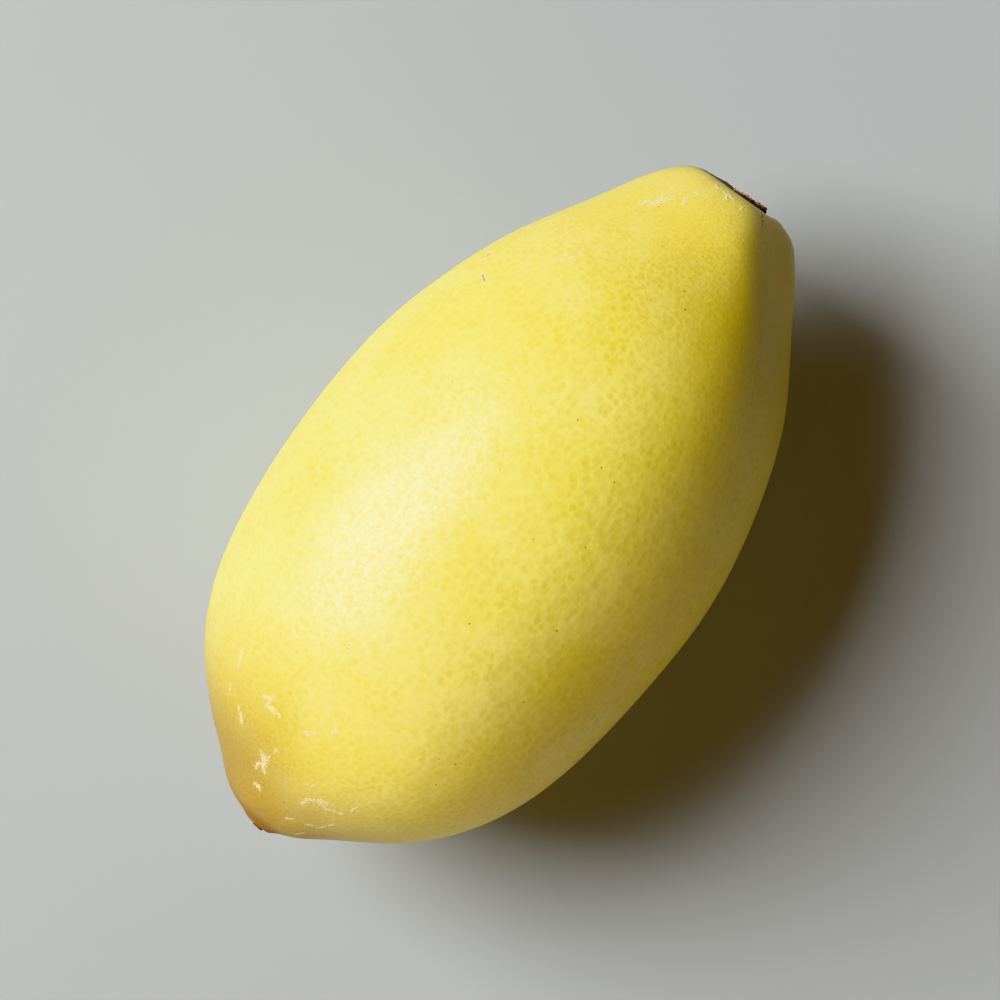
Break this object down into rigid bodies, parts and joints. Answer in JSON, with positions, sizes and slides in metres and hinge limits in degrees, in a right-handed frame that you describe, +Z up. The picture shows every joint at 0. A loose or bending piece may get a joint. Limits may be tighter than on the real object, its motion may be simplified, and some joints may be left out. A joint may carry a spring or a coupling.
{
  "type": "lemon",
  "caption": "Long yellow lemon lying on its side, with a narrow ridged neck and dry calyx at the stem end and a small nipple at the blossom end.",
  "frame": {"origin": "middle of the lemon's footprint, on the surface that it lies on", "axes": "+X along the fruit towards the stem end, +Z up"},
  "size_m": [0.1204, 0.066, 0.0646],
  "materials": {
    "lemon_rind": "yellow, finely pitted lemon rind, soft sheen",
    "dry_calyx": "dry, corky brown plant tissue, matte",
    "dry_style": "dry, dark brown plant tissue, matte"
  },
  "bodies": {
    "root": {"fruit": "lemon_rind", "calyx_button": "dry_calyx", "style_foot": "dry_style"}
  },
  "joints": []
}
